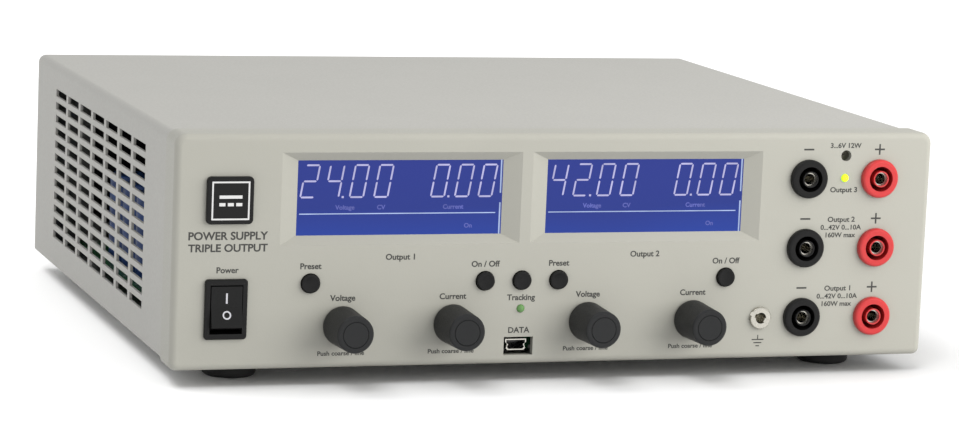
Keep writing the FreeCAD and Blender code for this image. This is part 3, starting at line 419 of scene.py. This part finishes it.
def outer_finishes():
    """Paint, plastics and rubber."""
    return {
        "painted_steel": plain_finish(
            "case_paint", (0.315, 0.311, 0.292), roughness=(0.5, 0.62), grain=0.9, relief=0.05,
            variation=0.012, specular=0.22),
        "bezel_plastic": plain_finish(
            "bezel_plastic", (0.284, 0.281, 0.250), roughness=(0.45, 0.58), grain=0.55,
            relief=0.035, variation=0.012, specular=0.35),
        "black_plastic": plain_finish(
            "black_plastic", grey(0.006), roughness=(0.35, 0.5), grain=0.4, relief=0.02,
            variation=0.1, specular=0.2),
        "knob_plastic": plain_finish(
            "knob_plastic", (0.009, 0.0095, 0.010), roughness=(0.45, 0.6), grain=0.35,
            relief=0.03, variation=0.1, specular=0.3),
        "red_plastic": plain_finish(
            "red_plastic", (0.385, 0.016, 0.017), roughness=(0.3, 0.42), grain=0.5, relief=0.02),
        "trimmer_brown": plain_finish(
            "trimmer_brown", (0.24, 0.22, 0.18), roughness=(0.4, 0.5), grain=0.5, relief=0.02),
        "emblem_white": plain_finish(
            "emblem_white", grey(0.48), roughness=(0.3, 0.4), grain=0.5, relief=0.01,
            variation=0.02),
        "rubber": plain_finish(
            "rubber", grey(0.012), roughness=(0.6, 0.8), grain=0.3, relief=0.05, variation=0.1,
            specular=0.3),
    }


def metal_finishes():
    """Bare metals, some with a directed grain."""
    return {
        "zinc_steel": plain_finish(
            "zinc_steel", (0.55, 0.55, 0.53), roughness=(0.25, 0.45), grain=1.2, relief=0.02,
            variation=0.08, metallic=1.0, stretch=(1, 8, 8)),
        "nickel": plain_finish(
            "nickel", (0.56, 0.54, 0.48), roughness=(0.18, 0.32), grain=0.8, relief=0.01,
            variation=0.06, metallic=1.0),
        "brass": plain_finish(
            "brass", (0.62, 0.45, 0.2), roughness=(0.25, 0.4), grain=0.8, relief=0.02,
            variation=0.08, metallic=1.0),
        "aluminium": plain_finish(
            "aluminium", grey(0.5), roughness=(0.3, 0.45), grain=1.0, relief=0.02,
            variation=0.06, metallic=1.0, stretch=(1, 1, 12)),
    }


def electronic_finishes():
    """Displays, lamps and the parts inside."""
    return {
        "display": display_blue("display_blue"),
        "backlight": plain_finish(
            "light_box_white", (0.7, 0.7, 0.68), roughness=(0.4, 0.5), grain=0.6, relief=0.02),
        "led_green": glowing(
            "led_green", (0.09, 0.20, 0.06), glow=(0.08, 0.22, 0.06), strength=0.12, period=1.2,
            variation=0.5),
        "led_lit": led_glow("led_lit"),
        "circuit_board": circuit_board("circuit_board"),
        "copper_winding": banded(
            "copper_winding", (0.50, 0.20, 0.06), band=(0.24, 0.08, 0.02), period=1.1,
            roughness=0.35),
        "capacitor_sleeve": banded(
            "capacitor_sleeve", (0.02, 0.07, 0.25), band=(0.012, 0.05, 0.19), period=9.0,
            roughness=0.3),
        "wire_sleeve": plain_finish(
            "wire_sleeve", (0.03, 0.12, 0.5), roughness=(0.4, 0.5), grain=1.0, relief=0.02,
            variation=0.1),
    }


def dress_nodes():
    """Each CAD node takes the finish of its own material slot, and the data socket its own."""
    finishes = {**outer_finishes(), **metal_finishes(), **electronic_finishes()}
    for row in frame["record"]["subparts"]:
        node = NODES[row["node"]]
        node.data.materials.clear()
        node.data.materials.append(finishes[row["material_slot"]])
    NODES["data_port"].data.materials[0] = port_finish("data_port_finish")


# Flat shapes for print. Outlines are (x, z) pairs.

def place_mesh(name, mesh_parts, material, body):
    """Joins the parts into one piece that rides on a body."""
    mesh = bpy.data.meshes.new(name)
    joined = bmesh.new()
    for part in mesh_parts:
        joined.from_mesh(part)
        bpy.data.meshes.remove(part)
    joined.to_mesh(mesh)
    joined.free()
    mesh.materials.append(material)
    piece = bpy.data.objects.new(name, mesh)
    bpy.context.scene.collection.objects.link(piece)
    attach(piece, body)


def prism(outline, y, hole=None):
    """A flat plate with its back at y. A hole is an outline with as many points as the plate's."""
    work = bmesh.new()
    steps = [(i, (i + 1) % len(outline)) for i in range(len(outline))]
    rings = []
    for ring in [outline, hole] if hole else [outline]:
        back = [work.verts.new((x, y, z)) for x, z in ring]
        front = [work.verts.new((x, y - INK_THICKNESS, z)) for x, z in ring]
        rings.append((back, front))
        for i, j in steps:
            work.faces.new((back[i], back[j], front[j], front[i]))
    if hole:
        for outer, inner in zip(*rings):
            for i, j in steps:
                work.faces.new((outer[i], outer[j], inner[j], inner[i]))
    else:
        for side in rings[0]:
            work.faces.new(side)
    bmesh.ops.recalc_face_normals(work, faces=work.faces)
    mesh = bpy.data.meshes.new("plate")
    work.to_mesh(mesh)
    work.free()
    return mesh


def bar(x, z, width, height, y):
    w, h = width / 2, height / 2
    return prism([(x - w, z - h), (x + w, z - h), (x + w, z + h), (x - w, z + h)], y)


def circle(x, z, radius, count=48):
    turns = [2 * math.pi * i / count for i in range(count)]
    return [(x + radius * math.cos(t), z + radius * math.sin(t)) for t in turns]


def lettering(text, x, z, cap, y, widening=USUAL_WIDENING, width=None, rear=False):
    """Plain sans lettering centred on x and z, with capitals cap high, standing on the plane y."""
    curve = bpy.data.curves.new("lettering", "FONT")
    curve.body = text
    curve.align_x = "CENTER"
    curve.resolution_u = 4
    curve.size = cap / CAP_SHARE
    curve.extrude = INK_THICKNESS / 2
    curve.offset = STROKE_SWELL * cap
    holder = bpy.data.objects.new("lettering", curve)
    bpy.context.scene.collection.objects.link(holder)
    mesh = bpy.data.meshes.new_from_object(holder)
    bpy.data.objects.remove(holder)
    bpy.data.curves.remove(curve)
    xs = [v.co.x for v in mesh.vertices]
    middle = (max(xs) + min(xs)) / 2
    scale = width / (max(xs) - min(xs)) if width else widening
    side = -1 if rear else 1
    upright = Matrix(((side * scale, 0, 0, x - side * middle * scale),
                      (0, 0, -side, y - side * INK_THICKNESS / 2),
                      (0, 1, 0, z - cap / 2), (0, 0, 0, 1)))
    mesh.transform(upright)
    return mesh


def panel_text(text, x, z, cap, **fit):
    return lettering(text, x, z, cap, PANEL_Y - INK_LIFT, **fit)


def panel_bar(x, z, width, height):
    return bar(x, z, width, height, PANEL_Y - INK_LIFT)


# Print on the panels

def control_labels():
    """Names above and below the badge, switch, buttons, knobs, lamp, data socket and displays."""
    parts = []
    badge, switch = centre("badge_plate"), centre("switch_housing")
    for text, drop, cap in TITLES:
        parts.append(panel_text(text, badge.x, badge.z - drop, cap, width=TITLE_WIDTH))
    parts.append(panel_text("Power", switch.x + SWITCH_NAME_SHIFT, switch.z + SWITCH_NAME_RISE,
                            NAME_CAP))
    for name, text in BUTTON_NAMES:
        button = centre("button_" + name)
        parts.append(panel_text(text, button.x, button.z + BUTTON_NAME_RISE, NAME_CAP))
    for number, text in enumerate(KNOB_NAMES, start=1):
        knob = centre("knob_%d" % number)
        parts.append(panel_text(text, knob.x, knob.z + KNOB_NAME_RISE, NAME_CAP))
        parts.append(panel_text("Push coarse / fine", knob.x, knob.z - KNOB_NOTE_DROP, NOTE_CAP,
                                width=KNOB_NOTE_WIDTH))
    lamp, port = centre("tracking_led"), centre("data_port")
    parts.append(panel_text("Tracking", lamp.x, lamp.z + LAMP_NAME_RISE, NAME_CAP))
    parts.append(panel_text("DATA", port.x, port.z + PORT_NAME_RISE, NAME_CAP))
    for window, text in zip(display_windows(), OUTPUT_NAMES):
        middle_x, middle_z = (window.left + window.right) / 2, (window.top + window.bottom) / 2
        parts.append(panel_text(text, middle_x, middle_z - DISPLAY_NAME_DROP, NAME_CAP))
    return parts


def socket_rows():
    """The heights of the three rows of sockets, from the lowest."""
    low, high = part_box("sockets_negative")
    radius = (high.x - low.x) / 2
    return [low.z + radius, (low.z + high.z) / 2, high.z - radius]


def minus_sign(x, z):
    return [panel_bar(x, z, SIGN_SIZE, SIGN_STROKE)]


def plus_sign(x, z):
    """A bar with half a stem above it and half below, so that no ink overlaps."""
    arm = (SIGN_SIZE - SIGN_STROKE) / 2
    stems = [panel_bar(x, z + side * (SIGN_STROKE + arm) / 2, SIGN_STROKE, arm) for side in (-1, 1)]
    return [panel_bar(x, z, SIGN_SIZE, SIGN_STROKE)] + stems


def socket_labels():
    """Minus and plus signs over the sockets, and each output's name and ratings."""
    rows = socket_rows()
    minus_x, plus_x = centre("sockets_negative").x, centre("sockets_positive").x
    parts = []
    for row in rows:
        parts += minus_sign(minus_x + MINUS_SHIFT, row + SIGN_RISE)
        parts += plus_sign(plus_x + PLUS_SHIFT, row + SIGN_RISE)
    middle = (minus_x + plus_x) / 2
    for row, text in zip(rows, OUTPUT_NAMES):
        parts.append(panel_text(text, middle, row + OUTPUT_NAME_RISE, OUTPUT_CAP,
                                widening=OUTPUT_WIDENING))
        parts.append(panel_text("0...42V 0...10A", middle, row + RATING_RISE, RATING_CAP,
                                width=RATING_WIDTH))
        parts.append(panel_text("160W max", middle, row + WATTS_RISE, RATING_CAP,
                                widening=WATTS_WIDENING))
    lamp, hole = centre("output_led"), centre("trimmer_rotor")
    parts.append(panel_text("Output 3", lamp.x + THIRD_NAME_SHIFT, lamp.z - THIRD_NAME_DROP,
                            OUTPUT_CAP, widening=OUTPUT_WIDENING))
    parts.append(panel_text("3...6V 12W", hole.x + THIRD_RATING_SHIFT,
                            hole.z + THIRD_RATING_RISE, RATING_CAP, widening=THIRD_RATING_WIDENING))
    return parts


def earth_sign():
    """A stem over three bars, each shorter than the one above."""
    socket = centre("earth_socket")
    x = socket.x + EARTH_SHIFT
    parts = [panel_bar(x, socket.z - EARTH_STEM_DROP, EARTH_STEM_WIDTH, EARTH_STEM_HEIGHT)]
    for row, width in enumerate(EARTH_BAR_WIDTHS):
        z = socket.z - EARTH_BAR_DROP - row * EARTH_BAR_STEP
        parts.append(panel_bar(x, z, width, EARTH_BAR_HEIGHT))
    return parts


def rear_labels():
    """Plain names beside the rear fittings."""
    panel_low, panel_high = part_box("rear_panel")
    inlet_low, inlet_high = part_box("mains_inlet")
    on = panel_high.y + INK_LIFT
    name_z = inlet_high.z + REAR_NAME_RISE
    return [
        lettering("AC INPUT", (inlet_low.x + inlet_high.x) / 2, name_z, INLET_NAME_CAP, on,
                  rear=True),
        lettering("FUSE", inlet_high.x + FUSE_NAME_SHIFT, inlet_high.z - FUSE_NAME_DROP,
                  REAR_NAME_CAP, on, rear=True),
        lettering("AIR OUTLET", panel_low.x + OUTLET_INSET, name_z, REAR_NAME_CAP, on, rear=True),
    ]


def rocker_marks():
    """A stroke on the pressed upper half of the rocker and a ring on its raised lower half."""
    joint = next(j for j in frame["joints"] if j["name"] == "rocker_tip")
    tilt = math.radians(joint["range_deg"][1])
    pivot = Vector(joint["pos_m"])
    on = PANEL_Y - ROCKER_PROUD - INK_LIFT
    x = centre("power_rocker").x
    stroke = bar(x, pivot.z + STROKE_RISE, STROKE_WIDTH, STROKE_HEIGHT, on)
    ring_z = pivot.z + RING_DISTANCE
    ring = prism(circle(x, ring_z, RING_RADIUS), on, hole=circle(x, ring_z, RING_HOLE))
    # The lower half is the upper half's mirror image, turned about the pivot by the tilt
    mirror = Matrix.Diagonal((1, 1, -1, 1))
    about = Matrix.Translation(pivot)
    ring.transform(about @ Matrix.Rotation(-tilt, 4, "X") @ mirror @ about.inverted())
    ring.flip_normals()
    return [stroke, ring]


def add_print():
    ink = plain_finish("panel_ink", (0.026, 0.026, 0.024), roughness=(0.45, 0.6), grain=0.3,
                       relief=0.002, variation=0.1)
    light_ink = plain_finish("light_ink", (0.40, 0.40, 0.43), roughness=(0.35, 0.5), grain=0.3,
                             relief=0.002)
    front = control_labels() + socket_labels() + earth_sign()
    place_mesh("panel_print", front, ink, CASE)
    place_mesh("rear_print", rear_labels(), ink, CASE)
    place_mesh("rocker_print", rocker_marks(), light_ink, "rocker")


# Displays

def display_windows():
    """The visible window of each display, from the left."""
    low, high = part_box("display_glasses")
    left, right = low.x + GLASS_HIDDEN, high.x - GLASS_HIDDEN
    bottom, top = low.z + GLASS_HIDDEN, high.z - GLASS_HIDDEN
    return [Window(left, left + WINDOW_WIDTH, top, bottom),
            Window(right - WINDOW_WIDTH, right, top, bottom)]


def segment_ends(segment):
    """Both ends of a segment's middle line, in an upright digit with its lower left corner at 0."""
    inset, gap = DIGIT_STROKE / 2, SEGMENT_GAP
    left, right = inset, DIGIT_WIDTH - inset
    bottom, middle, top = inset, DIGIT_HEIGHT / 2, DIGIT_HEIGHT - inset
    return {
        "a": ((left + gap, top), (right - gap, top)),
        "g": ((left + gap, middle), (right - gap, middle)),
        "d": ((left + gap, bottom), (right - gap, bottom)),
        "b": ((right, middle + 2 * gap), (right, top - gap)),
        "c": ((right, bottom + gap), (right, middle - 2 * gap)),
        "f": ((left, middle + 2 * gap), (left, top - gap)),
        "e": ((left, bottom + gap), (left, middle - 2 * gap)),
    }[segment]


def segment_outline(segment, x, z):
    """A bar with pointed ends, slanted with its digit."""
    start, end = [Vector(point) for point in segment_ends(segment)]
    along = (end - start).normalized() * DIGIT_STROKE / 2
    across = Vector((-along.y, along.x))
    corners = [start, start + along - across, end - along - across, end,
               end - along + across, start + along + across]
    return [(x + p.x + p.y * DIGIT_SLANT, z + p.y) for p in corners]


def display_digits(window, reading, on):
    """The digits of a reading and its two decimal points."""
    z = window.top - DIGIT_DROP
    parts = []
    for digit, place in zip(reading, DIGIT_PLACES):
        for segment in SEGMENTS[digit]:
            parts.append(prism(segment_outline(segment, window.left + place, z), on))
    for place in POINT_PLACES:
        parts.append(bar(window.left + place, z + POINT_HEIGHT / 2, POINT_WIDTH, POINT_HEIGHT, on))
    return parts


def display_rules(window, on):
    """The line under the digits and the bright strip at the right."""
    parts = [bar(window.left + RULE_MIDDLE, window.top - RULE_DROP, RULE_WIDTH, RULE_HEIGHT, on)]
    for top, bottom in ((window.top, window.top - STRIP_BREAK_TOP),
                        (window.top - STRIP_BREAK_BOTTOM, window.bottom)):
        parts.append(bar(window.left + STRIP_MIDDLE, (top + bottom) / 2, STRIP_WIDTH, top - bottom,
                         on))
    return parts


def display_words(window, on):
    return [lettering(text, window.left + shift, window.top - drop, NOTE_CAP, on)
            for text, shift, drop in WORDS]


def add_display_graphics():
    """Lit digits, rules and faint words just in front of each glass."""
    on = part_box("display_glasses")[0].y - INK_LIFT
    lit = glowing("display_lit", (0.06, 0.06, 0.1), glow=(0.52, 0.50, 0.80), strength=0.72,
                  period=8.0, variation=0.15)
    rules = glowing("display_rule", (0.06, 0.08, 0.1), glow=(0.42, 0.52, 0.85), strength=0.78,
                    period=9.0, variation=0.2)
    faint = glowing("display_faint", (0.02, 0.02, 0.08), glow=(0.085, 0.11, 0.42), strength=0.8,
                    period=5.0, variation=0.2)
    for number, (window, reading) in enumerate(zip(display_windows(), READINGS), start=1):
        for name, parts, material in (("digits", display_digits(window, reading, on), lit),
                                      ("rules", display_rules(window, on), rules),
                                      ("words", display_words(window, on), faint)):
            place_mesh("display_%s_%d" % (name, number), parts, material, CASE)


# Studio

def add_camera():
    data = bpy.data.cameras.new("camera")
    data.lens = CAMERA_LENS
    data.sensor_width = 36.0
    data.clip_start = 0.05
    data.clip_end = 60.0
    camera = bpy.data.objects.new("camera", data)
    bpy.context.scene.collection.objects.link(camera)
    turn = (Matrix.Rotation(CAMERA_AZIMUTH, 4, "Z")
            @ Matrix.Rotation(math.pi / 2 - CAMERA_ELEVATION, 4, "X")
            @ Matrix.Rotation(CAMERA_ROLL, 4, "Z"))
    camera.matrix_world = Matrix.Translation(CAMERA_PLACE) @ turn
    bpy.context.scene.camera = camera


def add_floor():
    """A plain pale floor, far larger than the view."""
    r = FLOOR_REACH
    mesh = bpy.data.meshes.new("floor")
    mesh.from_pydata([(-r, -r, 0), (r, -r, 0), (r, r, 0), (-r, r, 0)], [], [(0, 1, 2, 3)])
    mesh.materials.append(plain_finish("floor_white", grey(0.93), roughness=(0.8, 0.9), grain=40.0,
                                       relief=0.0, variation=0.01, blotch=900.0, specular=0.1))
    floor = bpy.data.objects.new("floor", mesh)
    bpy.context.scene.collection.objects.link(floor)
    return floor


def add_light(name, kind, place, power, colour=(1, 1, 1)):
    """A light at a place, turned towards the middle of the object."""
    data = bpy.data.lights.new(name, kind)
    data.energy = power
    data.color = colour
    light = bpy.data.objects.new(name, data)
    bpy.context.scene.collection.objects.link(light)
    aim = LIGHT_AIM - Vector(place)
    light.rotation_euler = aim.to_track_quat("-Z", "Y").to_euler()
    light.location = place
    light.visible_camera = False
    return light


def link_floor(light, floor, state):
    """INCLUDE: the light shines on the floor alone. EXCLUDE: on everything except the floor."""
    linked = bpy.data.collections.new("floor_for_" + light.name)
    linked.objects.link(floor)
    light.light_linking.receiver_collection = linked
    linked.collection_objects[0].light_linking.link_state = state


def add_soft_box(name, place, power, floor):
    """A large soft light that leaves out the floor and doesn't show in reflections."""
    light = add_light(name, "AREA", place, power, SOFT_BOX_COLOUR)
    light.data.size = SOFT_BOX_SIZE
    light.visible_glossy = False
    link_floor(light, floor, "EXCLUDE")


def add_sun(name, place, power, degrees):
    """A soft sun on the side of its place, as wide in the sky as its degrees."""
    light = add_light(name, "SUN", place, power)
    light.data.angle = math.radians(degrees)
    return light


def add_lights(floor):
    """Two soft boxes from the front, a sun from above, and a sun for the floor alone."""
    add_soft_box("key", (0.60, -0.58, 0.42), power=10.8, floor=floor)
    add_soft_box("low_fill", (0.35, -1.0, 0.07), power=2.8, floor=floor)
    add_sun("back_light", (-0.40, 0.12, 0.95), power=0.7, degrees=22)
    floor_light = add_sun("floor_light", (-0.35, -0.45, 0.9), power=0.8, degrees=25)
    link_floor(floor_light, floor, "INCLUDE")


def add_background():
    """Even white light from all around."""
    world = bpy.data.worlds.new("studio")
    bpy.context.scene.world = world
    world.use_nodes = True
    set_inputs(world.node_tree.nodes["Background"], Color=(1, 1, 1, 1),
               Strength=BACKGROUND_STRENGTH)


def add_studio():
    floor = add_floor()
    add_background()
    add_lights(floor)
    add_camera()
    bpy.context.scene.view_settings.view_transform = "Standard"


dress_nodes()
add_print()
add_display_graphics()
add_studio()
